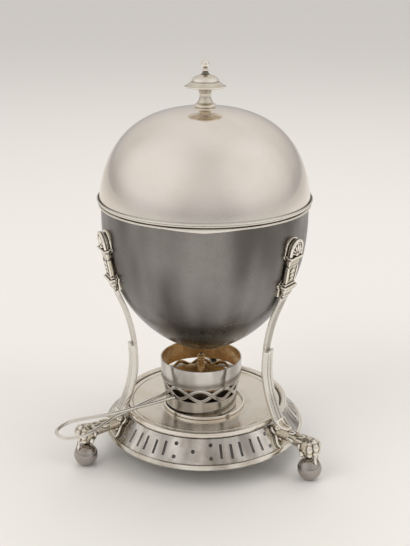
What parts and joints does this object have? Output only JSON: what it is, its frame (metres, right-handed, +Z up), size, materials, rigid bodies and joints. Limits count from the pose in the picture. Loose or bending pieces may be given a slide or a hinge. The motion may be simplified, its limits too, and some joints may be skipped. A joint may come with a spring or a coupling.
{
  "type": "egg warmer",
  "caption": "Footed table warmer for boiled eggs: an egg-shaped bowl with a lift-off dome and knob, held by clawed legs over a lift-out spirit burner on a pierced base.",
  "frame": {"origin": "on the table, under the centre of the object's bounding box", "axes": "+Z up through the knob, one leg at the back towards +Y, burner handle towards the front left (-X, -Y)"},
  "size_m": [0.1546, 0.1588, 0.2395],
  "materials": {
    "silver_plate": "bright polished silver plate",
    "bowl_plate": "polished silver plate with a soft brushed sheen",
    "cast_plate": "cast silver plate, worn bright on top and toned in the hollows",
    "warm_plate": "heat-toned plate inside the burner",
    "dark_plate": "dulled metal inside the burner",
    "cotton": "twisted cotton"
  },
  "bodies": {
    "stand": {"base_plate": "silver_plate", "burner_collar": "silver_plate", "gallery": "silver_plate", "base_rim": "silver_plate", "bowl": "bowl_plate", "bowl_rim": "silver_plate", "capital_back": "cast_plate", "capital_left": "cast_plate", "capital_right": "cast_plate", "leg_bar_back": "silver_plate", "leg_bar_left": "silver_plate", "leg_bar_right": "silver_plate", "leg_reeds_back": "silver_plate", "leg_reeds_left": "silver_plate", "leg_reeds_right": "silver_plate", "leaf_back": "cast_plate", "leaf_left": "cast_plate", "leaf_right": "cast_plate", "paw_back": "cast_plate", "paw_left": "cast_plate", "paw_right": "cast_plate", "ball_back": "silver_plate", "ball_left": "silver_plate", "ball_right": "silver_plate"},
    "lid": {"lid_dome": "silver_plate", "lid_lip": "silver_plate", "lid_bezel": "silver_plate", "finial": "cast_plate", "finial_nut": "cast_plate"},
    "egg_rack": {"rack_tray": "silver_plate", "rack_plate": "silver_plate", "rack_stem": "silver_plate", "rack_nut": "cast_plate", "rack_boss_tray": "cast_plate", "rack_boss_plate": "cast_plate", "rack_ring": "silver_plate", "rack_foot_1": "silver_plate", "rack_foot_2": "silver_plate", "rack_foot_3": "silver_plate"},
    "burner": {"burner_shell": "silver_plate", "burner_floor": "dark_plate", "font_cup": "dark_plate", "font_cover": "warm_plate", "wick_tube": "warm_plate", "wick_collar": "warm_plate", "burner_handle": "silver_plate"},
    "wick": {"wick": "cotton"}
  },
  "joints": [
    {"name": "lid_lift", "type": "slide", "parent": "stand", "child": "lid", "axis": [0, 0, 1], "range_m": [0, 0.2]},
    {"name": "rack_lift", "type": "slide", "parent": "stand", "child": "egg_rack", "axis": [0, 0, 1], "range_m": [0, 0.12]},
    {"name": "burner_lift", "type": "slide", "parent": "stand", "child": "burner", "axis": [0, 0, 1], "range_m": [0, 0.003]},
    {"name": "wick_raise", "type": "slide", "parent": "burner", "child": "wick", "axis": [0, 0, 1], "range_m": [0, 0.0015]}
  ],
  "couplings": [
    {"joint": "rack_lift", "follows": "lid_lift", "ratio": 0.6}
  ]
}
